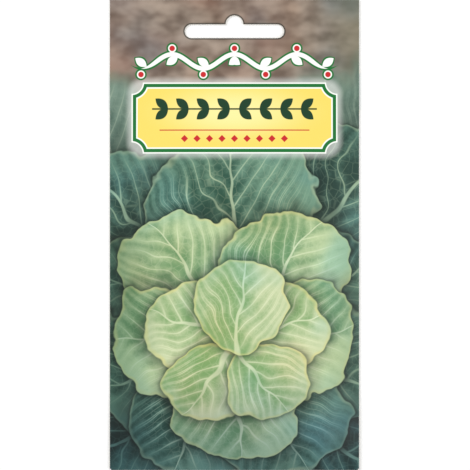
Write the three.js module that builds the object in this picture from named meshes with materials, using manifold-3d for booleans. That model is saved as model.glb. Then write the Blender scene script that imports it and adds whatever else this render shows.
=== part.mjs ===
// A flat paper seed packet with a hang slot, lying on its back on a table.
//
// One sheet of laminated paper is cut to a blank, folded into a tube and glued. From the free edge of the back
// panel the sheet runs left across the back, round the left fold, right across the front, round the right fold,
// and ends as a narrow glue flap tucked inside the back panel. The front panel goes on past its lower edge as a
// flap that folds under the packet and closes it. Above the seed pocket the two panels are glued flat to each
// other as a header, and the hang slot is punched through both of them.
//
// Millimetres. X runs across the packet, Y up along it from the bottom fold to the header, Z out of its printed
// face. The origin is on the table, under the middle of the packet.

import * as THREE from "three";
import { mergeVertices } from "three/addons/utils/BufferGeometryUtils.js";
import Module from "manifold-3d";

// Driving dimensions
const WIDTH = 80;
const HEIGHT = 151;
const PAPER = 0.15; // thickness of the laminated paper
const GLUE = 0.05; // thickness of a dried glue line
const CLEARANCE = 0.01; // air left between a glue line and the paper beside it
const CREASE_GAP = 0.1; // air between the two layers just inside a side fold
const HEADER = 22; // height of the glued header above the seed pocket
const SLOT = { width: 32, height: 4.5, fromTop: 10.1, notchRadius: 2.85 };
const BOTTOM_FLAP = { height: 14, chamfer: 7, creaseRun: 0.5 };
const GLUE_FLAP = 11; // width of the flap tucked inside the back panel
const BACK_EDGE_INSET = 1.4; // from the right fold to the back panel's free edge
const SWELL = { rise: 3, sides: 26, bottom: 14, top: 55 }; // the pocket's rise, and how far each edge slopes
const SETTLE = 15; // length over which the back panel comes down from the bottom flap to the table
const SEED = { radius: 0.95, pitch: 2.4, columns: 22, rows: 13, lowestY: -58, everyNth: 6 };

const halfWidth = WIDTH / 2;
const halfHeight = HEIGHT / 2;
const foldRadius = (PAPER + CREASE_GAP) / 2;
const creaseX = halfWidth - foldRadius - PAPER / 2;
const bottomCreaseY = -halfHeight + BOTTOM_FLAP.creaseRun;
const bottomFlapEndY = -halfHeight + BOTTOM_FLAP.height;
const headerY = halfHeight - HEADER;
const glueFlapEdgeX = halfWidth - GLUE_FLAP;
const glueLayer = GLUE + 2 * CLEARANCE;

const PAPER_MATERIAL = new THREE.MeshStandardMaterial({ color: 0x7f9a78, roughness: 0.4, metalness: 0 });
const GLUE_MATERIAL = new THREE.MeshStandardMaterial({ color: 0xe9e0c2, roughness: 0.6, metalness: 0 });
const SEED_MATERIAL = new THREE.MeshStandardMaterial({ color: 0x4a2c1c, roughness: 0.55, metalness: 0 });

const wasm = await Module();
wasm.setup();

// Heights of the paper's middle surface above the table

const clamp01 = (t) => Math.min(1, Math.max(0, t));
const ease = (t) => clamp01(t) ** 2 * (3 - 2 * clamp01(t));
const swell = (distance, run) => Math.sin((Math.PI / 2) * clamp01(distance / run));

// The back panel lies on the bottom flap at its lower end and on the table everywhere else.
function backHeight(y) {
  const onFlap = 1 - ease((y - bottomFlapEndY) / SETTLE);
  return PAPER / 2 + (PAPER + glueLayer) * onFlap;
}

function glueFlapHeight(y) {
  return backHeight(y) + PAPER + glueLayer;
}

// The front panel spans from the left fold to the right one, which stands higher by the glue flap, and swells
// between them over the seed pocket.
function frontHeight(x, y) {
  const left = backHeight(y) + 2 * foldRadius;
  const right = glueFlapHeight(y) + 2 * foldRadius;
  const pocket =
    swell(creaseX - Math.abs(x), SWELL.sides) *
    swell(y - bottomCreaseY, SWELL.bottom) *
    swell(headerY - y, SWELL.top);
  return THREE.MathUtils.lerp(left, right, (x + halfWidth) / WIDTH) + SWELL.rise * pocket;
}

function frontNormal(x, y) {
  const step = 0.05;
  const slope = (frontHeight(x + step, y) - frontHeight(x - step, y)) / (2 * step);
  return new THREE.Vector3(-slope, 0, 1).normalize();
}

// Solids

// A closed sheet from rows of points on its middle surface. Each point is { at, normal, half }, with half its
// thickness, and the rows run so that along-the-row cross row-to-row gives the normal.
function thickSheet(rows) {
  const count = rows[0].length;
  const perSide = rows.length * count;
  const positions = [1, -1].flatMap((side) =>
    rows.flatMap((row) => row.flatMap((p) => p.at.clone().addScaledVector(p.normal, side * p.half).toArray())),
  );
  const upper = (row, column) => row * count + column;
  const lower = (row, column) => perSide + upper(row, column);
  const index = [];
  const quad = (a, b, c, d) => index.push(a, b, c, a, c, d);
  const lastRow = rows.length - 1;
  const lastColumn = count - 1;
  for (let r = 0; r < lastRow; r++) {
    for (let c = 0; c < lastColumn; c++) {
      quad(upper(r, c), upper(r, c + 1), upper(r + 1, c + 1), upper(r + 1, c));
      quad(lower(r, c), lower(r + 1, c), lower(r + 1, c + 1), lower(r, c + 1));
    }
    quad(upper(r, 0), upper(r + 1, 0), lower(r + 1, 0), lower(r, 0));
    quad(upper(r, lastColumn), lower(r, lastColumn), lower(r + 1, lastColumn), upper(r + 1, lastColumn));
  }
  for (let c = 0; c < lastColumn; c++) {
    quad(upper(0, c), lower(0, c), lower(0, c + 1), upper(0, c + 1));
    quad(upper(lastRow, c), upper(lastRow, c + 1), lower(lastRow, c + 1), lower(lastRow, c));
  }
  return new THREE.BufferGeometry()
    .setAttribute("position", new THREE.Float32BufferAttribute(positions, 3))
    .setIndex(index);
}

function toManifold(geometry) {
  const bare = new THREE.BufferGeometry().setAttribute("position", geometry.getAttribute("position"));
  bare.setIndex(geometry.index);
  const merged = mergeVertices(bare, 1e-4);
  return new wasm.Manifold(
    new wasm.Mesh({
      numProp: 3,
      vertProperties: merged.attributes.position.array,
      triVerts: new Uint32Array(merged.index.array),
    }),
  );
}

function toGeometry(manifold) {
  const { vertProperties, triVerts } = manifold.getMesh();
  return new THREE.BufferGeometry()
    .setAttribute("position", new THREE.BufferAttribute(vertProperties, 3))
    .setIndex(new THREE.BufferAttribute(triVerts, 1));
}

// A prism with the outline of the hang slot: a bar with round ends and a half-round notch over its middle.
function slotCutter() {
  const depth = 6;
  const end = SLOT.height / 2;
  const straight = SLOT.width / 2 - end;
  const outline = new THREE.Shape();
  outline.moveTo(-straight, -end);
  outline.lineTo(straight, -end);
  outline.absarc(straight, 0, end, -Math.PI / 2, Math.PI / 2);
  outline.lineTo(SLOT.notchRadius, end);
  outline.absarc(0, end, SLOT.notchRadius, 0, Math.PI);
  outline.lineTo(-straight, end);
  outline.absarc(-straight, 0, end, Math.PI / 2, (3 * Math.PI) / 2);
  const prism = new THREE.ExtrudeGeometry(outline, { depth, bevelEnabled: false, curveSegments: 9 });
  prism.translate(0, halfHeight - SLOT.fromTop, -depth / 2);
  return toManifold(prism.deleteAttribute("normal").deleteAttribute("uv"));
}

// The wrapper's mesh columns and rows, closer together where it bends

const mirrored = (positive) => [...positive.map((x) => -x), 0, ...positive.toReversed()];
const frontColumns = mirrored([39.6, 38, 36, 33, 30, 26, 22, 17, 11.5, 6]);
const flapHalfWidth = Math.max(...frontColumns);
const FOLD_STEPS = 6;
const tubeRows = [
  bottomCreaseY, -73.8, -72, -69.5, -66.5, -64, bottomFlapEndY, -58, -54.5, -51, bottomFlapEndY + SETTLE,
  -38, -28, -18, -8, 2, 12, 22, 31, 40, 47, headerY, 60, halfHeight,
];

function foldPoints(centreX, centreZ, from, to, y) {
  const points = [];
  for (let step = 1; step < FOLD_STEPS; step++) {
    const angle = THREE.MathUtils.lerp(from, to, step / FOLD_STEPS);
    const normal = new THREE.Vector3(Math.cos(angle), 0, Math.sin(angle));
    const at = new THREE.Vector3(centreX, y, centreZ).addScaledVector(normal, foldRadius);
    points.push({ at, normal, half: PAPER / 2 });
  }
  return points;
}

// One row of the tube: the whole folded path of the sheet at one height on the packet. The normals point to
// the printed side.
function tubeSection(y) {
  const down = new THREE.Vector3(0, 0, -1);
  const flat = (x, z) => ({ at: new THREE.Vector3(x, y, z), normal: down, half: PAPER / 2 });
  const back = backHeight(y);
  const flap = glueFlapHeight(y);
  const backColumns = [halfWidth - BACK_EDGE_INSET, 20, 0, -20, -creaseX];
  const front = [-creaseX, ...frontColumns, creaseX].map((x) => ({
    at: new THREE.Vector3(x, y, frontHeight(x, y)),
    normal: Math.abs(x) < creaseX ? frontNormal(x, y) : new THREE.Vector3(0, 0, 1),
    half: PAPER / 2,
  }));
  return [
    ...backColumns.map((x) => flat(x, back)),
    ...foldPoints(-creaseX, back + foldRadius, -Math.PI / 2, (-3 * Math.PI) / 2, y),
    ...front,
    ...foldPoints(creaseX, flap + foldRadius, Math.PI / 2, -Math.PI / 2, y),
    flat(creaseX, flap),
    flat(glueFlapEdgeX, flap),
  ];
}

// The bottom flap: from the front panel's lower edge round the bottom fold and back under the packet.
function bottomFlapRows() {
  const foldReach = BOTTOM_FLAP.creaseRun - PAPER / 2;
  const chamferStartY = bottomFlapEndY - BOTTOM_FLAP.chamfer;
  const rows = [];
  for (let step = 0; step <= FOLD_STEPS; step++) {
    const angle = (Math.PI * step) / FOLD_STEPS;
    rows.push(
      frontColumns.map((x) => {
        const top = frontHeight(x, bottomCreaseY);
        const middle = (top + PAPER / 2) / 2;
        const z = middle + Math.cos(angle) * (top - middle);
        const normal = frontNormal(x, bottomCreaseY).multiplyScalar(Math.cos(angle));
        normal.y -= Math.sin(angle);
        return {
          at: new THREE.Vector3(x, bottomCreaseY - Math.sin(angle) * foldReach, z),
          normal: normal.normalize(),
          half: PAPER / 2,
        };
      }),
    );
  }
  for (const y of [chamferStartY, bottomFlapEndY]) {
    const narrowing = 1 - Math.max(0, y - chamferStartY) / flapHalfWidth;
    rows.push(
      frontColumns.map((x) => ({
        at: new THREE.Vector3(x * narrowing, y, PAPER / 2),
        normal: new THREE.Vector3(0, 0, -1),
        half: PAPER / 2,
      })),
    );
  }
  return rows.reverse();
}

function wrapperGeometry() {
  const tube = toManifold(thickSheet(tubeRows.map(tubeSection)));
  const flap = toManifold(thickSheet(bottomFlapRows()));
  return toGeometry(tube.add(flap).subtract(slotCutter()));
}

// Glue lines

const up = new THREE.Vector3(0, 0, 1);

function sideSeamGlueGeometry() {
  const ends = [-halfHeight + 3, halfHeight - 2];
  const inside = tubeRows.filter((y) => y > ends[0] && y < ends[1]);
  const columns = [glueFlapEdgeX + 1.5, halfWidth - BACK_EDGE_INSET - 0.8];
  return thickSheet(
    [ends[0], ...inside, ends[1]].map((y) =>
      columns.map((x) => ({
        at: new THREE.Vector3(x, y, backHeight(y) + (PAPER + glueLayer) / 2),
        normal: up,
        half: GLUE / 2,
      })),
    ),
  );
}

function bottomFlapGlueGeometry() {
  const length = 8;
  const glue = new THREE.BoxGeometry(56, length, GLUE);
  return glue.translate(0, bottomFlapEndY - 1.5 - length / 2, PAPER + glueLayer / 2);
}

// Fills the header between the two panels, up to the edge of the glue flap.
function headerGlueGeometry() {
  const floor = PAPER + CLEARANCE;
  const columns = [1.5 - halfWidth, ...frontColumns.filter((x) => Math.abs(x) < 25), glueFlapEdgeX - 1];
  const rows = [headerY + 2, 60, halfHeight - 1].map((y) =>
    columns.map((x) => {
      const ceiling = frontHeight(x, y) - PAPER / 2 - CLEARANCE;
      return { at: new THREE.Vector3(x, y, (floor + ceiling) / 2), normal: up, half: (ceiling - floor) / 2 };
    }),
  );
  return toGeometry(toManifold(thickSheet(rows)).subtract(slotCutter()));
}

// Seeds lie in one layer at the bottom of the pocket, on a loose grid. One place in six holds a seed solid here.
function seedPlaces() {
  const places = [];
  for (let row = 0; row < SEED.rows; row++) {
    for (let column = 0; column < SEED.columns; column++) {
      const drift = 0.2 * Math.sin(37 * row + 91 * column);
      const stagger = row % 2 === 0 ? 0 : SEED.pitch / 2;
      const x = (column - (SEED.columns - 1) / 2) * SEED.pitch - SEED.pitch / 4 + stagger + drift;
      const y = SEED.lowestY + row * SEED.pitch + 0.2 * Math.cos(53 * row + 17 * column);
      if ((column + 3 * row) % SEED.everyNth === 0) places.push([x, y]);
    }
  }
  return places;
}

function mesh(name, geometry, material) {
  const made = new THREE.Mesh(geometry, material);
  made.name = name;
  return made;
}

const packet = new THREE.Group();
packet.name = "seed_packet";
packet.add(mesh("printed_wrapper", wrapperGeometry(), PAPER_MATERIAL));
packet.add(mesh("side_seam_glue", sideSeamGlueGeometry(), GLUE_MATERIAL));
packet.add(mesh("bottom_flap_glue", bottomFlapGlueGeometry(), GLUE_MATERIAL));
packet.add(mesh("header_glue", headerGlueGeometry(), GLUE_MATERIAL));

const seeds = new THREE.Group();
seeds.name = "seeds";
const SEED_FOOT = 0.8507; // an icosahedron's lowest edge, as a share of its radius
seedPlaces().forEach(([x, y], i) => {
  const radius = SEED.radius * (1 + 0.06 * Math.sin(11 * i));
  const seed = mesh(`seed_${String(i + 1).padStart(2, "0")}`, new THREE.IcosahedronGeometry(radius), SEED_MATERIAL);
  seed.position.set(x, y, backHeight(y) + PAPER / 2 + SEED_FOOT * radius + CLEARANCE);
  seed.rotation.z = i;
  seeds.add(seed);
});
packet.add(seeds);

export default packet;
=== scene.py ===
"""The looks of a flat paper seed packet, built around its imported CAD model.

The packet's sizes are in millimetres, as in the CAD source, and each mesh is scaled to metres as it is
made. The wrapper is one sheet: `u` runs across the flat blank, with 0 on the middle of the front panel,
and `v` runs up it.
"""
import math

import bmesh
import bpy
import numpy as np
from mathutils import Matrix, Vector, noise as perlin
from mathutils.geometry import delaunay_2d_cdt


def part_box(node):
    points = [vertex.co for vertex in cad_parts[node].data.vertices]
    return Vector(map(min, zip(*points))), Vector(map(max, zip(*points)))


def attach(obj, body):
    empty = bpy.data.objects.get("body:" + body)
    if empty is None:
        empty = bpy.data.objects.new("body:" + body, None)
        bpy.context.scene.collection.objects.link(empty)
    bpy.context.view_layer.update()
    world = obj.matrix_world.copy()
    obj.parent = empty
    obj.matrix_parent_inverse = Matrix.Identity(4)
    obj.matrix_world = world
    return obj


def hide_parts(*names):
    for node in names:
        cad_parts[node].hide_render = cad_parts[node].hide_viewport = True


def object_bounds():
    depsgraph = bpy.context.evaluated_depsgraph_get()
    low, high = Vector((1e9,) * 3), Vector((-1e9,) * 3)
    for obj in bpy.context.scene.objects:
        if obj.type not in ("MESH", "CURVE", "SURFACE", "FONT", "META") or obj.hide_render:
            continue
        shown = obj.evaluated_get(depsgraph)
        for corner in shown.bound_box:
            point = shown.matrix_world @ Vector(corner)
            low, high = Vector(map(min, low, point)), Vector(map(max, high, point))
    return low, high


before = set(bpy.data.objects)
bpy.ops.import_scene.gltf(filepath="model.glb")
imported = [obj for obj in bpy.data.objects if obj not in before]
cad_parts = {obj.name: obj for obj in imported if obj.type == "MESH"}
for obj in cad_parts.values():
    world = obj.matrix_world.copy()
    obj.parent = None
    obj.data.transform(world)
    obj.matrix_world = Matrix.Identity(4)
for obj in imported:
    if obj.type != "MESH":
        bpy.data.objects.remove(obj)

cad_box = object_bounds()

MM = 0.001


# The folded sheet, in millimetres, as the CAD model has it

wrapper_low, wrapper_high = (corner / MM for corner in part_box("printed_wrapper"))
WIDTH = wrapper_high.x - wrapper_low.x
HALF_WIDTH = WIDTH / 2
HALF_HEIGHT = (wrapper_high.y - wrapper_low.y) / 2
PAPER = 0.15
GLUE_LAYER = 0.07
CREASE_GAP = 0.1
HEADER = 22
SLOT_WIDTH, SLOT_HEIGHT, SLOT_FROM_TOP, NOTCH_RADIUS = 32, 4.5, 10.1, 2.85
FLAP_HEIGHT, FLAP_CHAMFER, FLAP_CREASE_RUN = 14, 7, 0.5
GLUE_FLAP = 11
BACK_EDGE_INSET = 1.4
SWELL_RISE, SWELL_SIDES, SWELL_BOTTOM, SWELL_TOP = 3, 26, 14, 55
SETTLE = 15
BUCKLE = 0.16  # how deep the front's soft buckles are

fold_radius = (PAPER + CREASE_GAP) / 2
fold_length = math.pi * fold_radius
crease_x = HALF_WIDTH - fold_radius - PAPER / 2
flap_half = crease_x - 0.2
left_u = -crease_x - fold_length  # where the left fold ends and the back panel begins
right_u = crease_x + fold_length
back_end_u = left_u - (HALF_WIDTH - BACK_EDGE_INSET + crease_x)
glue_flap_end_u = right_u + crease_x - (HALF_WIDTH - GLUE_FLAP)
back_middle_u = left_u - crease_x
bottom_v = -HALF_HEIGHT + FLAP_CREASE_RUN
bottom_fold_length = 1.1
bottom_flap_end_y = -HALF_HEIGHT + FLAP_HEIGHT
flap_end_v = bottom_v - bottom_fold_length - (bottom_flap_end_y - bottom_v)
header_y = HALF_HEIGHT - HEADER
slot_y = HALF_HEIGHT - SLOT_FROM_TOP
slot_end = SLOT_HEIGHT / 2
slot_straight = SLOT_WIDTH / 2 - slot_end


def ease(t):
    t = np.clip(t, 0, 1)
    return t * t * (3 - 2 * t)


def swell(distance, run):
    return np.sin(np.pi / 2 * np.clip(distance / run, 0, 1))


def back_height(y):
    on_flap = 1 - ease((y - bottom_flap_end_y) / SETTLE)
    return PAPER / 2 + (PAPER + GLUE_LAYER) * on_flap


def glue_flap_height(y):
    return back_height(y) + PAPER + GLUE_LAYER


def buckles(x, y):
    """0 to 1: how far the thin front panel gives way, in soft waves and in dents over the seeds."""
    long_waves = np.sin(0.11 * x + 0.07 * y + 1.3) * np.sin(0.05 * x - 0.09 * y + 0.4)
    short_waves = np.sin(0.31 * x - 0.12 * y) * np.sin(0.17 * x + 0.26 * y + 2.0)
    dents = np.sin(2.6 * x + 0.5 * np.sin(1.9 * y)) * np.sin(2.5 * y + 0.5 * np.sin(2.1 * x))
    over_seeds = ease((-y - 20) / 14)
    return 0.5 + 0.28 * long_waves + 0.12 * short_waves + 0.1 * dents * over_seeds


def front_height(x, y):
    left = back_height(y) + 2 * fold_radius
    right = glue_flap_height(y) + 2 * fold_radius
    pocket = swell(crease_x - np.abs(x), SWELL_SIDES) * swell(y - bottom_v, SWELL_BOTTOM)
    pocket = pocket * swell(header_y - y, SWELL_TOP)
    base = left + (right - left) * (x + HALF_WIDTH) / WIDTH
    return base + SWELL_RISE * pocket - BUCKLE * buckles(x, y) * np.minimum(pocket * 2.5, 1)


def place(u, v):
    """The sheet's middle surface: where the point (u, v) of the flat blank lies on the folded packet."""
    x = np.clip(u, -crease_x, crease_x)
    y = np.maximum(v, bottom_v)
    z = front_height(x, y)

    left = (-crease_x - u) / fold_radius
    on_left = left > 0
    low = back_height(y)
    turn = np.clip(left, 0, np.pi)
    past = np.maximum(left_u - u, 0)
    x = np.where(on_left, -crease_x - fold_radius * np.sin(turn) + past, x)
    z = np.where(on_left, low + fold_radius * (1 + np.cos(turn)), z)

    right = (u - crease_x) / fold_radius
    on_right = right > 0
    low = glue_flap_height(y)
    turn = np.clip(right, 0, np.pi)
    past = np.maximum(u - right_u, 0)
    x = np.where(on_right, crease_x + fold_radius * np.sin(turn) - past, x)
    z = np.where(on_right, low + fold_radius * (1 + np.cos(turn)), z)

    below = bottom_v - v
    on_flap = below > 0
    turn = np.clip(below / bottom_fold_length, 0, 1) * np.pi
    past = np.maximum(below - bottom_fold_length, 0)
    half_rise = (z - PAPER / 2) / 2
    flap_y = bottom_v - (FLAP_CREASE_RUN - PAPER / 2) * np.sin(turn) + past
    narrowing = 1 - np.maximum(flap_y - bottom_flap_end_y + FLAP_CHAMFER, 0) / flap_half * on_flap
    z = np.where(on_flap, PAPER / 2 + half_rise * (1 + np.cos(turn)), z)
    return np.stack([x * narrowing, np.where(on_flap, flap_y, y), z], axis=-1)


def printed_normal(u, v):
    """Which way the printed side of the sheet faces at (u, v) of the blank."""
    step = 0.004
    across = place(u + step, v) - place(u - step, v)
    up = place(u, v + step) - place(u, v - step)
    normal = np.cross(across, up)
    return normal / np.linalg.norm(normal, axis=-1, keepdims=True)


def slot_outline(middle_u):
    """The hang slot: a bar with round ends and a half-round notch over its middle."""
    def arc(x, y, radius, start, end, steps):
        angles = np.linspace(math.radians(start), math.radians(end), steps)
        return [(middle_u + x + radius * math.cos(a), slot_y + y + radius * math.sin(a)) for a in angles]

    lower = np.arange(-slot_straight + 0.5, slot_straight - 0.1, 0.5)
    lower_edge = [(middle_u + x, slot_y - slot_end) for x in lower]
    right_end = arc(slot_straight, 0, slot_end, -90, 90, 40)
    notch = arc(0, slot_end, NOTCH_RADIUS, 0, 180, 48)
    left_end = arc(-slot_straight, 0, slot_end, 90, 270, 40)
    upper = np.arange(NOTCH_RADIUS + 0.4, slot_straight - 0.1, 0.5)
    upper_right = [(middle_u + x, slot_y + slot_end) for x in upper[::-1]]
    upper_left = [(middle_u - x, slot_y + slot_end) for x in upper]
    return lower_edge + right_end + upper_right + notch + upper_left + left_end


def outside_slot(u, v, middle_u):
    """Millimetres from the hang slot's outline, negative inside it."""
    x = u - middle_u
    y = v - slot_y
    bar = np.hypot(np.maximum(np.abs(x) - slot_straight, 0), y) - slot_end
    notch = np.hypot(x, y - slot_end) - NOTCH_RADIUS
    return np.minimum(bar, notch)


def clear_of_slots(u, v, margin):
    return (outside_slot(u, v, 0) > margin) & (outside_slot(u, v, back_middle_u) > margin)


def stretch(start, end, pitch):
    """Evenly spaced values from start up to, but without, end."""
    return np.linspace(start, end, max(2, round(abs(end - start) / pitch)) + 1)[:-1]


def flat_blank():
    """The sheet before it is folded, as points (u, v) and triangles, with both slots cut out."""
    fold_pitch = fold_length / 8
    columns = np.concatenate([
        stretch(back_end_u, left_u, 1.4),
        stretch(left_u, -crease_x, fold_pitch),
        stretch(-crease_x, -flap_half, 0.2),
        stretch(-flap_half, flap_half, 0.85),
        stretch(flap_half, crease_x, 0.2),
        stretch(crease_x, right_u, fold_pitch),
        stretch(right_u, glue_flap_end_u, 1.4),
        [glue_flap_end_u],
    ])
    rows = np.concatenate([stretch(bottom_v, HALF_HEIGHT, 1.0), [HALF_HEIGHT]])
    flap_rows = np.concatenate([
        stretch(flap_end_v, bottom_v - bottom_fold_length, 1.2),
        stretch(bottom_v - bottom_fold_length, bottom_v, bottom_fold_length / 8),
    ])
    flap_columns = columns[np.abs(columns) <= flap_half + 1e-6]
    main = np.stack(np.meshgrid(columns, rows, indexing="ij"), -1).reshape(-1, 2)
    main = main[clear_of_slots(main[:, 0], main[:, 1], 0.3)]
    flap = np.stack(np.meshgrid(flap_columns, flap_rows, indexing="ij"), -1).reshape(-1, 2)
    points = [tuple(p) for p in np.concatenate([main, flap])]

    cuts = []
    for middle_u in (0, back_middle_u):
        first = len(points)
        outline = slot_outline(middle_u)
        points.extend(outline)
        cuts.extend((first + i, first + (i + 1) % len(outline)) for i in range(len(outline)))
    index = {(round(u, 6), round(v, 6)): i for i, (u, v) in enumerate(points)}
    side = [*flap_rows, bottom_v]
    for u in (-flap_half, flap_half):
        for low, high in zip(side, side[1:]):
            cuts.append((index[round(u, 6), round(low, 6)], index[round(u, 6), round(high, 6)]))
    for left, right in zip(columns, columns[1:]):
        cuts.append((index[round(left, 6), round(bottom_v, 6)], index[round(right, 6), round(bottom_v, 6)]))

    made = delaunay_2d_cdt([Vector(p) for p in points], cuts, [], 0, 1e-7)
    points = np.array([tuple(p) for p in made[0]])
    triangles = np.array([f for f in made[2] if len(f) == 3])
    middle = points[triangles].mean(axis=1)
    on_sheet = (middle[:, 1] > bottom_v) | (np.abs(middle[:, 0]) < flap_half)
    return points, triangles[on_sheet & clear_of_slots(middle[:, 0], middle[:, 1], 0)]


def free_edges(triangles):
    """The edges that only one triangle has, each in that triangle's direction."""
    sides = np.concatenate([triangles[:, [0, 1]], triangles[:, [1, 2]], triangles[:, [2, 0]]])
    known = {tuple(s) for s in sides}
    return np.array([s for s in sides if (s[1], s[0]) not in known])


# Arithmetic on surfaces

class Shade:
    """A number or colour at a point of a surface, written as arithmetic and built as shader nodes."""

    def __init__(self, tree, socket):
        self.tree = tree
        self.socket = socket

    def with_math(self, operation, *others):
        return math_node(self.tree, operation, self, *others)

    def __add__(self, other):
        return self.with_math("ADD", other)

    def __sub__(self, other):
        return self.with_math("SUBTRACT", other)

    def __mul__(self, other):
        return self.with_math("MULTIPLY", other)

    def __truediv__(self, other):
        return self.with_math("DIVIDE", other)

    def __rsub__(self, other):
        return math_node(self.tree, "SUBTRACT", other, self)

    __radd__ = __add__
    __rmul__ = __mul__

    def times_plus(self, factor, term):
        return self.with_math("MULTIPLY_ADD", factor, term)


def math_node(tree, operation, *values):
    node = tree.nodes.new("ShaderNodeMath")
    node.operation = operation
    for slot, value in zip(node.inputs, values):
        plug(tree, value, slot)
    return Shade(tree, node.outputs[0])


def plug(tree, value, slot):
    if isinstance(value, Shade):
        tree.links.new(value.socket, slot)
    else:
        slot.default_value = value


def absolute(a):
    return a.with_math("ABSOLUTE")


def fraction(a):
    return a.with_math("FRACT")


def sine(a):
    return a.with_math("SINE")


def cosine(a):
    return a.with_math("COSINE")


def root(a):
    return a.with_math("SQRT")


def least(a, b):
    return a.with_math("MINIMUM", b)


def most(a, b):
    return a.with_math("MAXIMUM", b)


def above(a, b):
    return a.with_math("GREATER_THAN", b)


def span(a, low, high, out_low=0.0, out_high=1.0):
    """a from low to high becomes out_low to out_high, eased at both ends."""
    node = a.tree.nodes.new("ShaderNodeMapRange")
    node.interpolation_type = "SMOOTHSTEP"
    for slot, value in zip(node.inputs, (a, low, high, out_low, out_high)):
        plug(a.tree, value, slot)
    return Shade(a.tree, node.outputs[0])


def mix(under, over, amount, mode="MIX"):
    tree = amount.tree if isinstance(amount, Shade) else under.tree
    node = tree.nodes.new("ShaderNodeMix")
    node.data_type = "RGBA"
    node.blend_type = mode
    plug(tree, amount, node.inputs[0])
    plug(tree, under, node.inputs[6])
    plug(tree, over, node.inputs[7])
    return Shade(tree, node.outputs[2])


def scaled(place, x, y):
    """The place with its x and y multiplied, for a pattern that is drawn out along one of them."""
    node = place.tree.nodes.new("ShaderNodeMapping")
    node.inputs["Scale"].default_value = (x, y, 1.0)
    place.tree.links.new(place.socket, node.inputs["Vector"])
    return Shade(place.tree, node.outputs[0])


def noise(place, size, detail=2.0, roughness=0.5, distortion=0.0):
    """Smooth noise about 0.5, with features of the given size in the place's own unit."""
    node = place.tree.nodes.new("ShaderNodeTexNoise")
    node.inputs["Scale"].default_value = 1.0 / size
    node.inputs["Detail"].default_value = detail
    node.inputs["Roughness"].default_value = roughness
    node.inputs["Distortion"].default_value = distortion
    place.tree.links.new(place.socket, node.inputs["Vector"])
    return Shade(place.tree, node.outputs[0])


def cell_edges(place, size):
    """Distance to the nearest edge of a net of irregular cells of the given size."""
    node = place.tree.nodes.new("ShaderNodeTexVoronoi")
    node.feature = "DISTANCE_TO_EDGE"
    node.inputs["Scale"].default_value = 1.0 / size
    place.tree.links.new(place.socket, node.inputs["Vector"])
    return Shade(place.tree, node.outputs["Distance"])


def linear(red, green, blue):
    """A colour given in sRGB from 0 to 255, as a shader wants it."""
    def one(c):
        c /= 255
        return c / 12.92 if c <= 0.04045 else ((c + 0.055) / 1.055) ** 2.4
    return (one(red), one(green), one(blue), 1.0)


def group_of(name, build, inputs, outputs):
    """A node group: inputs and outputs are {name: socket type}; build gets and gives Shades by name."""
    tree = bpy.data.node_groups.new(name, "ShaderNodeTree")
    for label, kind in inputs.items():
        tree.interface.new_socket(label, in_out="INPUT", socket_type=kind)
    for label, kind in outputs.items():
        tree.interface.new_socket(label, in_out="OUTPUT", socket_type=kind)
    source = tree.nodes.new("NodeGroupInput")
    sink = tree.nodes.new("NodeGroupOutput")
    made = build(**{label: Shade(tree, source.outputs[label]) for label in inputs})
    for label, value in made.items():
        tree.links.new(value.socket, sink.inputs[label])
    return tree


def use_group(tree, group, **values):
    node = tree.nodes.new("ShaderNodeGroup")
    node.node_tree = group
    for label, value in values.items():
        plug(tree, value, node.inputs[label])
    return {out.name: Shade(tree, out) for out in node.outputs}


# The printed picture. A leaf is drawn in a frame of its own: `share` runs from 0 at its foot to 1 at its
# tip, and `across` is 0 on its midrib and 1 at its rim. Lengths are in millimetres on the print.

FLOAT = "NodeSocketFloat"
COLOUR = "NodeSocketColor"

LEAF_INPUTS = {
    "x": FLOAT, "y": FLOAT, "wander": FLOAT, "sway": FLOAT,
    "ripple": FLOAT, "mottle": FLOAT, "netting": FLOAT,
    "foot_x": FLOAT, "foot_y": FLOAT, "ahead": FLOAT, "aside": FLOAT,
    "length": FLOAT, "width": FLOAT, "bend": FLOAT, "veins": FLOAT, "fold": FLOAT,
    "softness": FLOAT, "ruffle": FLOAT, "shadow": FLOAT, "contrast": FLOAT,
    "under": COLOUR, "deep": COLOUR, "pale": COLOUR, "rib": COLOUR, "rim": COLOUR,
}
SHADE_COLOUR = linear(14, 34, 24)
TAPER = 0.14  # how much wider than its middle a leaf is at its tip


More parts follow.
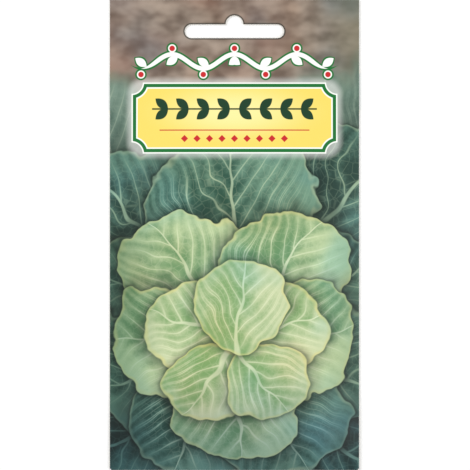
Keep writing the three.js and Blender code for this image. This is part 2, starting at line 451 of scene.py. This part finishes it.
def leaf_group():
    def build(x, y, wander, sway, ripple, mottle, netting, foot_x, foot_y, ahead, aside, length, width,
              bend, veins, fold, softness, ruffle, shadow, contrast, under, deep, pale, rib, rim):
        dx = x - foot_x
        dy = y - foot_y
        share = (dy * ahead + dx * aside) / length
        side = dx * ahead - dy * aside + wander + bend * share * share
        along = share.times_plus(2.0, -1.0)
        across = side / (width * along.times_plus(TAPER, 1.0))
        reach = absolute(across)
        radius = root(along * along + across * across)
        inside = (1.0 - radius - ripple * ruffle) * width
        cover = span(inside, softness * -0.5, softness * 0.5)

        # Side veins leave the midrib towards the tip, curve up near the rim, and fork past their middle.
        climb = reach * reach.times_plus(0.45, 0.5)
        phase = (share - climb) * veins + above(side, 0.0) * 0.43 + sway
        offset = absolute(fraction(phase) - 0.5)
        forked = absolute(offset - most(reach - 0.4, 0.0) * 0.4)
        pitch = length / veins
        side_vein = span(forked * pitch, reach.times_plus(-0.35, 0.62), 0.1) * 0.85
        minor = span((0.5 - offset) * pitch, 0.4, 0.05) * span(reach, 0.3, 0.55, 0.0, 0.45)
        rib_half = (1.0 - share) * width * 0.07 + 0.15
        midrib = span(absolute(side), rib_half, rib_half * 0.4)
        vein = most(most(most(side_vein, minor), netting) * span(radius, 1.02, 0.6), midrib)

        # The two halves face different ways, the leaf bulges between its veins, and its foot is in shade.
        tone = span(side, width * -0.45, width * 0.45, -0.5, 0.5) * fold
        tone = tone + span(offset, 0.5, 0.02, -0.2, 0.2)
        tone = tone + span(reach, 0.0, 0.25, -0.25, 0.0)
        tone = tone + span(radius, 0.3, 1.0, -0.15, 0.3)
        tone = tone + span(share, 0.0, 0.5, -0.6, 0.0)
        tone = tone + mottle
        lit = span(tone * contrast, -0.75, 0.75)
        vein = vein * ripple.times_plus(1.1, 0.85)
        body = mix(mix(deep, pale, lit), rib, vein * contrast.times_plus(0.55, 0.22))
        body = mix(body, rim, span(inside, 1.2, 0.2) * ripple.times_plus(0.8, 0.5))

        # The leaf darkens what lies behind it, widely and, close to its rim, deeply.
        cast = span(inside, width * -0.32, 0.5, 0.0, 0.6) + span(inside, -1.6, 0.2, 0.0, 0.4)
        return {"colour": mix(mix(under, SHADE_COLOUR, cast * shadow), body, cover)}

    return group_of("printed leaf", build, LEAF_INPUTS, {"colour": COLOUR})


def leaf_kind(deep, pale, rib, rim, softness, ruffle, shadow, contrast):
    """A kind of leaf: its four colours, how blurred and how ruffled its rim is, and its depth of shade."""
    return {"deep": linear(*deep), "pale": linear(*pale), "rib": linear(*rib), "rim": linear(*rim),
            "softness": softness, "ruffle": ruffle, "shadow": shadow, "contrast": contrast}


LEAF_KINDS = {
    "far": leaf_kind((62, 90, 78), (124, 148, 132), (160, 178, 156), (126, 148, 128),
                     6.0, 0.3, 0.2, 0.6),
    "near": leaf_kind((28, 62, 52), (92, 132, 116), (158, 186, 156), (136, 160, 132),
                      0.6, 0.36, 0.85, 1.15),
    "ring": leaf_kind((38, 80, 64), (112, 150, 126), (180, 202, 168), (164, 180, 142),
                      0.5, 0.3, 0.85, 1.1),
    "mantle": leaf_kind((104, 146, 98), (188, 207, 158), (220, 230, 190), (206, 207, 142),
                        0.4, 0.35, 0.8, 1.0),
    "heart": leaf_kind((124, 164, 104), (202, 213, 168), (228, 235, 196), (214, 210, 136),
                       0.4, 0.28, 0.7, 0.85),
}

# One leaf a line, from the back of the picture to its front: kind, foot, heading in degrees to the right of
# straight up, length, half-width, bend, number of side veins.
PLANT = [
    ("far", (-34, 12), -14, 40, 17, 3, 6),
    ("far", (24, 2), 2, 50, 15, -3, 6),
    ("far", (42, -4), 4, 66, 15, -3, 6),
    ("near", (-4, -26), -38, 66, 26, 7, 7),
    ("near", (6, -26), 34, 74, 27, -7, 7),
    ("near", (-6, -34), -80, 29, 22, -5, 6),
    ("near", (6, -34), 84, 30, 22, 5, 6),
    ("near", (-4, -40), -132, 62, 26, -6, 7),
    ("near", (6, -40), 136, 62, 26, 6, 7),
    ("near", (0, -42), 178, 46, 24, 4, 6),
    ("ring", (1, -28), -6, 62, 27, -5, 7),
    ("ring", (-4, -32), -60, 48, 23, 5, 6),
    ("ring", (5, -32), 56, 48, 23, -5, 6),
    ("ring", (-3, -36), -112, 44, 22, -5, 6),
    ("ring", (4, -36), 112, 44, 22, 5, 6),
    ("ring", (-2, -38), -160, 42, 22, -4, 6),
    ("ring", (4, -38), 158, 42, 22, 4, 6),
    ("mantle", (-2, -32), -30, 44, 20, 4, 6),
    ("mantle", (3, -32), 30, 44, 20, -4, 6),
    ("mantle", (3, -35), 88, 36, 18, 4, 5),
    ("mantle", (-3, -35), -92, 36, 18, -4, 5),
    ("mantle", (0, -36), 180, 36, 20, 3, 5),
    ("heart", (-1, -35), -62, 28, 14.5, 3, 5),
    ("heart", (2, -35), 64, 28, 14.5, -3, 5),
    ("heart", (-1, -37), -150, 25, 13.5, -3, 5),
    ("heart", (2, -37), 146, 25, 13.5, 3, 5),
    ("heart", (0, -38), 4, 30, 15, -3, 5),
]
LIGHT_FROM = (-0.6, 0.8)  # where the light in the picture comes from, across and up


def across_and_up(tree, place):
    """The place's two parts as numbers of their own."""
    node = tree.nodes.new("ShaderNodeSeparateXYZ")
    tree.links.new(place.socket, node.inputs[0])
    return Shade(tree, node.outputs[0]), Shade(tree, node.outputs[1])


def printed_colour(tree, *rgb):
    node = tree.nodes.new("ShaderNodeRGB")
    node.outputs[0].default_value = linear(*rgb)
    return Shade(tree, node.outputs[0])


def ground(tree, place, x):
    """Bare soil behind the plant, out of focus and lying in rough streaks."""
    streaks = noise(scaled(place, 0.7, 1.0), 6.5, detail=2.2, roughness=0.5)
    patches = noise(scaled(place, 0.6, 1.0), 22.0, detail=2.0)
    soil = mix(printed_colour(tree, 94, 78, 66), linear(167, 150, 135), span(streaks, 0.25, 0.75))
    soil = mix(soil, linear(146, 112, 98), span(patches, 0.4, 0.7) * 0.6)
    return mix(soil, linear(112, 120, 96), span(patches * 0.6 + x * 0.012, 0.45, 0.85) * 0.55)


WAIT = 1e-7  # far too small to be seen, and not so small that it is left out


def plant(tree, place, x, y, under):
    """Every leaf of the printed plant, from the back of the picture to its front."""
    wander = (noise(place, 15.0, detail=1.0) - 0.5) * 9.0
    ripple = noise(place, 7.0, detail=1.5) - 0.5
    mottle = ripple + (noise(place, 1.3, detail=3.0, roughness=0.7) - 0.5) * 0.8
    netting = span(cell_edges(place, 2.6), 0.07, 0.015, 0.0, 0.2)
    sway = wander * 0.11
    leaf = leaf_group()
    colour = under
    for kind, foot, heading, length, width, bend, veins in PLANT:
        turn = math.radians(heading)
        fold = -LIGHT_FROM[0] * math.cos(turn) + LIGHT_FROM[1] * math.sin(turn)
        drawn = use_group(tree, leaf, x=x, y=y, wander=wander, sway=sway, ripple=ripple, mottle=mottle,
                          netting=netting, under=colour, foot_x=float(foot[0]), foot_y=float(foot[1]),
                          ahead=math.cos(turn), aside=math.sin(turn), length=float(length),
                          width=float(width), bend=float(bend), veins=float(veins), fold=fold,
                          **LEAF_KINDS[kind])
        colour = drawn["colour"]
        # The next leaf's place waits for this leaf's colour. The renderer then works out one leaf at a time,
        # and doesn't run out of room for half-finished ones.
        x = math_node(tree, "MULTIPLY_ADD", colour, WAIT, x)
        y = math_node(tree, "MULTIPLY_ADD", colour, WAIT, y)
    return colour, x, y


def inked(distance):
    """1 inside a printed shape, where the distance to its outline is negative, and 0 outside it."""
    return span(distance, INK_EDGE, -INK_EDGE)


def length_of(a, b):
    return root(a * a + b * b)


def off_nearest(a, pitch):
    """Distance from a to the nearest multiple of pitch."""
    return absolute(fraction(a / pitch + 0.5) - 0.5) * pitch


INK_EDGE = 0.09
BORDER_GREEN = linear(14, 112, 46)

# What the picture is multiplied by: towards its lower end, towards its sides, and where its hue drifts.
LOWER_SHADE = (0.38, 0.50, 0.70, 1.0)
SIDE_SHADE = (0.34, 0.48, 0.50, 1.0)
COOL = (0.72, 0.94, 1.18, 1.0)
WARM = (1.12, 0.97, 0.86, 1.0)

PRINTED_WHITE = linear(252, 253, 248)
PRINTED_RED = linear(200, 34, 40)
PLAQUE_Y, PLAQUE_HALF_WIDTH, PLAQUE_HALF_HEIGHT, PLAQUE_CORNER = 37.5, 33.0, 11.4, 3.6
GARLAND_PITCH, LOZENGE_PITCH = 6.6, 4.0
VINE_Y, VINE_HALF_WAVE, VINE_RISE = 55.7, 10.0, 2.3


def plaque(x, y, under):
    """A pale yellow plaque with hollowed corners and a green border. A garland stands where a name would."""
    aside = absolute(x)
    up = y - PLAQUE_Y
    past_side = aside - PLAQUE_HALF_WIDTH
    past_end = absolute(up) - PLAQUE_HALF_HEIGHT
    outside = most(most(past_side, past_end), PLAQUE_CORNER - length_of(past_side, past_end))
    glow = length_of(x * 0.036, (up - 2.0) * 0.105)
    yellow = mix(linear(251, 238, 160), linear(244, 219, 104), span(glow, 0.1, 1.15))
    round_about = length_of(most(past_side + 4.0, 0.0), most(past_end + 4.0, 0.0))
    colour = mix(under, PRINTED_WHITE, span(round_about, 6.5, 3.6, 0.0, 0.4))
    colour = mix(colour, PRINTED_WHITE, inked(outside))
    colour = mix(colour, BORDER_GREEN, inked(outside + 0.4))
    colour = mix(colour, PRINTED_WHITE, inked(outside + 1.5))
    colour = mix(colour, yellow, inked(outside + 1.95))

    part = (fraction(aside / GARLAND_PITCH) - 0.5) * GARLAND_PITCH + 1.8
    off_stem = absolute(up - 2.9)
    along = part * 0.77 + off_stem * 0.64 - 2.6
    across = off_stem * 0.77 - part * 0.64
    leaf = absolute(across) - (along * along).times_plus(-0.2, 1.4)
    garland = most(least(leaf, off_stem - 0.25), aside - 4 * GARLAND_PITCH)
    colour = mix(colour, linear(14, 58, 32), inked(garland))

    rule = most(absolute(up + 3.9) - 0.17, aside - 24.0)
    bead = off_nearest(aside, LOZENGE_PITCH)
    lozenge = most(bead + absolute(up + 6.6) - 1.15, aside - 17.9)
    return mix(colour, PRINTED_RED, inked(least(rule, lozenge)))


def vine(x, y, under):
    """A white vine with leaves and red berries, outlined in green, over the plaque."""
    aside = absolute(x)
    turn = aside * (math.pi / VINE_HALF_WAVE)
    wave = cosine(turn)
    up = (y - VINE_Y) * above(wave, 0.0).times_plus(2.0, -1.0)
    part = (fraction(aside / VINE_HALF_WAVE + 0.5) - 0.5) * VINE_HALF_WAVE
    slope = sine(turn) * 0.72
    off_stem = absolute(up - absolute(wave) * VINE_RISE) / root(slope * slope + 1.0)
    stem = off_stem - span(aside, 36.0, 24.0, -0.75, 0.7)
    leaf_up = up - 0.3
    along = part * 0.8 - leaf_up * 0.6
    across = part * 0.6 + leaf_up * 0.8
    leaf = absolute(across) - (along * along).times_plus(-0.25, 1.25)
    berry = length_of(part, up - 4.2) - 1.3
    shape = most(least(least(stem, leaf), berry), aside - 34.0)
    colour = mix(under, BORDER_GREEN, inked(shape - 0.55))
    colour = mix(colour, PRINTED_WHITE, inked(shape))
    return mix(colour, PRINTED_RED, inked(most(berry + 0.4, aside - 33.5)))


def slot_bruise_and_shade(x, y, under):
    """The thin dark line round the hang slot: partly bruised paper, partly painted shade at the cut edge."""
    off_bar = length_of(most(absolute(x) - slot_straight, 0.0), y - slot_y) - slot_end
    off_notch = length_of(x, y - (slot_y + slot_end)) - NOTCH_RADIUS
    # Darker within 0.6 mm of the slot's outline: painted shade along the cut edge, with the bruise of the punch.
    return mix(under, linear(36, 40, 34), span(least(off_bar, off_notch), 0.6, 0.25) * 0.8)


def picture(tree, place):
    """The front's print: a leafy plant on bare soil, with a vine and a plaque over it; round the hang slot,
    bruise and painted shade.
    """
    x, y = across_and_up(tree, place)
    soil = ground(tree, place, x)
    colour, x, y = plant(tree, place, x, y, soil)
    hue = noise(place, 24.0, detail=1.5)
    colour = mix(colour, COOL, span(hue, 0.5, 0.72, 0.0, 0.8), "MULTIPLY")
    colour = mix(colour, WARM, span(hue, 0.48, 0.3, 0.0, 0.8), "MULTIPLY")
    colour = mix(colour, LOWER_SHADE, span(y, -38.0, -67.0, 0.0, 0.85), "MULTIPLY")
    beside = span(x, -20.0, -38.0, 0.0, 0.85) + span(x, 25.0, 41.0, 0.0, 0.55)
    colour = mix(colour, SIDE_SHADE, beside * span(y, 12.0, -6.0), "MULTIPLY")
    colour = plaque(x, y, colour)
    colour = vine(x, y, colour)
    return slot_bruise_and_shade(x, y, colour)


# Materials

def new_material(name):
    material = bpy.data.materials.new(name)
    material.use_nodes = True
    tree = material.node_tree
    shader = tree.nodes["Principled BSDF"]
    return material, tree, shader


def blank_place(tree):
    node = tree.nodes.new("ShaderNodeAttribute")
    node.attribute_name = "blank_mm"
    return Shade(tree, node.outputs["Vector"])


def object_place(tree):
    node = tree.nodes.new("ShaderNodeTexCoord")
    return Shade(tree, node.outputs["Object"])


def bump(tree, shader, height, distance_mm, strength=1.0):
    node = tree.nodes.new("ShaderNodeBump")
    node.inputs["Strength"].default_value = strength
    node.inputs["Distance"].default_value = distance_mm * MM
    plug(tree, height, node.inputs["Height"])
    tree.links.new(node.outputs["Normal"], shader.inputs["Normal"])


def coated(tree, shader, place):
    """The gloss coat over the print: nearly even, with the paper's fibres just showing through."""
    fibres = noise(place, 0.35, detail=3.0, roughness=0.6)
    cloud = noise(place, 7.0, detail=2.0)
    plug(tree, fibres.times_plus(0.12, 0.26) + cloud * 0.14, shader.inputs["Roughness"])
    bump(tree, shader, fibres + cloud * 0.8, 0.012)
    shader.inputs["Specular IOR Level"].default_value = 0.35


def front_print():
    material, tree, shader = new_material("front print")
    place = blank_place(tree)
    plug(tree, picture(tree, place), shader.inputs["Base Color"])
    coated(tree, shader, place)
    return material


TABLE_HALF_WIDTH, TABLE_LOW, MONTH, TABLE_ROW = 31.2, -2.0, 5.2, 6.0

# A bar a line: the table's row from below, the first and the last month, the ink.
MONTH_BARS = (
    (2, 2, 4, (64, 146, 76)),
    (1, 4, 6, (240, 178, 54)),
    (0, 7, 10, (198, 66, 50)),
)


def month_bar(x, y, row, first, last):
    """Distance outside a bar in the back's table, over the months from first to last."""
    middle = TABLE_LOW + (row + 0.5) * TABLE_ROW
    start = (first - 1) * MONTH - TABLE_HALF_WIDTH
    end = last * MONTH - TABLE_HALF_WIDTH
    return most(absolute(y - middle) - 1.8, absolute(x - (start + end) / 2) - (end - start) / 2)


def back_print():
    """Cream, with a green band, a table of twelve months with three bars, and a bare white panel."""
    material, tree, shader = new_material("back print")
    place = blank_place(tree)
    u, y = across_and_up(tree, place)
    x = u - back_middle_u
    colour = printed_colour(tree, 238, 233, 212)
    band = absolute(y - 46.0) - 6.0
    colour = mix(colour, linear(248, 226, 118), inked(band - 0.8))
    colour = mix(colour, BORDER_GREEN, inked(band))

    half_height = 1.5 * TABLE_ROW
    off_middle = absolute(y - (TABLE_LOW + half_height))
    table = most(absolute(x) - TABLE_HALF_WIDTH, off_middle - half_height)
    colour = mix(colour, linear(250, 249, 243), inked(table))
    for row, first, last, ink in MONTH_BARS:
        colour = mix(colour, linear(*ink), inked(month_bar(x, y, row, first, last)))
    off_column = off_nearest(x, MONTH)
    off_row = off_nearest(y - TABLE_LOW, TABLE_ROW)
    grid = most(least(off_column, off_row) - 0.12, table - 0.12)
    panel = most(absolute(x - 14.0) - 17.0, absolute(y + 42.0) - 11.0)
    colour = mix(colour, linear(120, 130, 112), inked(least(grid, panel - 0.3)))
    colour = mix(colour, linear(250, 249, 243), inked(panel))
    plug(tree, colour, shader.inputs["Base Color"])
    coated(tree, shader, place)
    return material


def bare_paper():
    material, tree, shader = new_material("bare paper")
    place = blank_place(tree)
    fibres = noise(place, 0.8, detail=4.0, roughness=0.65, distortion=0.6)
    plug(tree, mix(linear(226, 223, 214), linear(242, 240, 233), fibres), shader.inputs["Base Color"])
    shader.inputs["Roughness"].default_value = 0.8
    bump(tree, shader, fibres, 0.02)
    return material


def cut_paper():
    material, tree, shader = new_material("cut paper")
    place = object_place(tree)
    fibres = noise(place, 0.1 * MM, detail=3.0)
    plug(tree, mix(linear(150, 142, 132), linear(205, 199, 188), fibres), shader.inputs["Base Color"])
    shader.inputs["Roughness"].default_value = 0.9
    return material


def dried_glue():
    material, tree, shader = new_material("dried glue")
    place = object_place(tree)
    streaks = noise(place, 1.5 * MM, detail=3.0, distortion=1.0)
    plug(tree, mix(linear(214, 196, 150), linear(238, 228, 200), streaks), shader.inputs["Base Color"])
    plug(tree, streaks.times_plus(0.3, 0.3), shader.inputs["Roughness"])
    bump(tree, shader, streaks, 0.03)
    return material


def seed_skin():
    material, tree, shader = new_material("seed skin")
    place = object_place(tree)
    hue = noise(place, 3.1 * MM, detail=0.0)
    pits = cell_edges(place, 0.12 * MM)
    skin = mix(linear(52, 30, 22), linear(108, 66, 44), span(hue, 0.35, 0.65))
    plug(tree, mix(skin, linear(30, 18, 14), span(pits, 0.12, 0.0)), shader.inputs["Base Color"])
    shader.inputs["Roughness"].default_value = 0.5
    bump(tree, shader, pits, 0.02)
    return material


def pale_floor():
    material, tree, shader = new_material("pale floor")
    shader.inputs["Base Color"].default_value = (0.93, 0.93, 0.93, 1)
    shader.inputs["Roughness"].default_value = 0.9
    shader.inputs["Specular IOR Level"].default_value = 0.1
    return material


# Pieces

def as_object(name, vertices_mm, faces, materials, face_materials=None):
    mesh = bpy.data.meshes.new(name)
    mesh.from_pydata((np.asarray(vertices_mm) * MM).tolist(), [], [list(map(int, f)) for f in faces])
    for material in materials:
        mesh.materials.append(material)
    if face_materials is not None:
        mesh.polygons.foreach_set("material_index", face_materials)
    piece = bpy.data.objects.new(name, mesh)
    bpy.context.scene.collection.objects.link(piece)
    return piece


def wrapper():
    points, triangles = flat_blank()
    u, v = points.T
    middle = place(u, v)
    half = printed_normal(u, v) * PAPER / 2
    count = len(points)
    edges = free_edges(triangles)
    rims = np.stack([edges[:, 0], edges[:, 0] + count, edges[:, 1] + count, edges[:, 1]], axis=1)
    faces = [*triangles, *(triangles[:, ::-1] + count), *rims]

    middle_u, middle_v = points[triangles].mean(axis=1).T
    on_front = (np.abs(middle_u) < crease_x + fold_length / 2) & (middle_v > bottom_v - bottom_fold_length / 2)
    inner = np.full(len(triangles), 2)
    face_materials = np.concatenate([np.where(on_front, 0, 1), inner, np.full(len(rims), 3)])
    materials = [front_print(), back_print(), bare_paper(), cut_paper()]
    piece = as_object("wrapper", np.concatenate([middle + half, middle - half]), faces, materials, face_materials)

    blank = piece.data.attributes.new("blank_mm", "FLOAT_VECTOR", "POINT")
    flat = np.column_stack([np.tile(u, 2), np.tile(v, 2), np.zeros(2 * count)])
    blank.data.foreach_set("vector", flat.ravel())
    piece.data.shade_smooth()
    piece.data.set_sharp_from_angle(angle=math.radians(50))
    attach(piece, "root")
    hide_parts("printed_wrapper")
    return piece


SEED_PITCH, SEED_COLUMNS, SEED_ROWS, SEED_LOWEST_Y, CAD_SEED_EVERY = 2.4, 22, 13, -58, 6
SEED_RADIUS = 0.9


def seed_places():
    """Every seed's place across and up the packet, on the same loose grid as the CAD model's seeds."""
    for row in range(SEED_ROWS):
        for column in range(SEED_COLUMNS):
            drift = 0.2 * math.sin(37 * row + 91 * column)
            stagger = 0 if row % 2 == 0 else SEED_PITCH / 2
            x = (column - (SEED_COLUMNS - 1) / 2) * SEED_PITCH - SEED_PITCH / 4 + stagger + drift
            y = SEED_LOWEST_Y + row * SEED_PITCH + 0.2 * math.cos(53 * row + 17 * column)
            yield x, y


def seed_ball():
    """A unit ball of vertices and triangles."""
    mesh = bpy.data.meshes.new("ball")
    ball = bmesh.new()
    bmesh.ops.create_icosphere(ball, subdivisions=3, radius=1)
    ball.to_mesh(mesh)
    ball.free()
    vertices = np.array([v.co for v in mesh.vertices])
    faces = np.array([list(p.vertices) for p in mesh.polygons])
    bpy.data.meshes.remove(mesh)
    return vertices, faces


def seeds():
    """Round seeds, each a little uneven, with a small flat scar where it grew on the pod."""
    ball, ball_faces = seed_ball()
    vertices, faces = [], []
    for i, (x, y) in enumerate(seed_places()):
        radius = SEED_RADIUS * (1 + 0.05 * math.sin(7 * i))
        lumps = [perlin.noise(Vector(p) * 1.7 + Vector((i, 3 * i, 0))) for p in ball]
        shape = ball * radius * (1 + 0.05 * np.array(lumps)[:, None])
        scar = Vector((math.sin(5 * i), math.cos(5 * i), math.sin(3 * i))).normalized()
        depth = np.maximum(shape @ np.array(scar) - 0.93 * radius, 0)
        shape = shape - depth[:, None] * np.array(scar) * 1.6
        floor = float(back_height(y)) + PAPER / 2 + 0.02
        shape[:, 2] += floor - shape[:, 2].min()
        faces.append(ball_faces + len(vertices) * len(ball))
        vertices.append(shape + (x, y, 0))
    piece = as_object("seeds", np.concatenate(vertices), np.concatenate(faces), [seed_skin()])
    piece.data.shade_smooth()
    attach(piece, "root")
    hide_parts(*[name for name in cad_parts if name.startswith("seed_")])
    return piece


def finish_glue_lines():
    glue = dried_glue()
    for name in ("side_seam_glue", "bottom_flap_glue", "header_glue"):
        for material_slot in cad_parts[name].material_slots:
            material_slot.material = glue


# Floor, light and camera

LENS_MM, SENSOR_MM = 180, 36
PACKET_SHARE = 1.001      # of the picture's height, which it just fills
CAMERA_ASIDE = 0.17 * MM  # the packet stands a little left of the picture's middle


def stage():
    low, high = cad_box
    bpy.ops.mesh.primitive_plane_add(size=4, location=(0, 0, low.z - 0.05 * MM))
    floor = bpy.context.object
    floor.name = "floor"
    floor.data.materials.append(pale_floor())

    def softbox(name, place, size, power):
        data = bpy.data.lights.new(name, "AREA")
        data.shape = "DISK"
        data.size = size
        data.energy = power
        light = bpy.data.objects.new(name, data)
        light.location = place
        light.rotation_euler = (-Vector(place)).to_track_quat("-Z", "Y").to_euler()
        bpy.context.scene.collection.objects.link(light)

    softbox("softbox_left", (-0.75, 0.55, 0.75), 0.6, 6.4)
    softbox("softbox_right", (0.8, -0.25, 0.8), 0.8, 5.8)

    world = bpy.data.worlds.new("studio")
    world.use_nodes = True
    background = world.node_tree.nodes["Background"]
    background.inputs["Color"].default_value = (1, 1, 1, 1)
    background.inputs["Strength"].default_value = 0.58
    bpy.context.scene.world = world
    bpy.context.scene.view_settings.view_transform = "Standard"


def camera():
    low, high = cad_box
    data = bpy.data.cameras.new("camera")
    data.lens = LENS_MM
    data.sensor_width = SENSOR_MM
    seen_height = (high.y - low.y) / PACKET_SHARE
    distance = seen_height * LENS_MM / SENSOR_MM
    eye = bpy.data.objects.new("camera", data)
    eye.location = (CAMERA_ASIDE, 0, distance + front_edge_z())
    bpy.context.scene.collection.objects.link(eye)
    bpy.context.scene.camera = eye


def front_edge_z():
    """The height of the front panel at its edges, where its outline is seen."""
    return float(front_height(0, HALF_HEIGHT)) * MM


wrapper()
seeds()
finish_glue_lines()
stage()
camera()
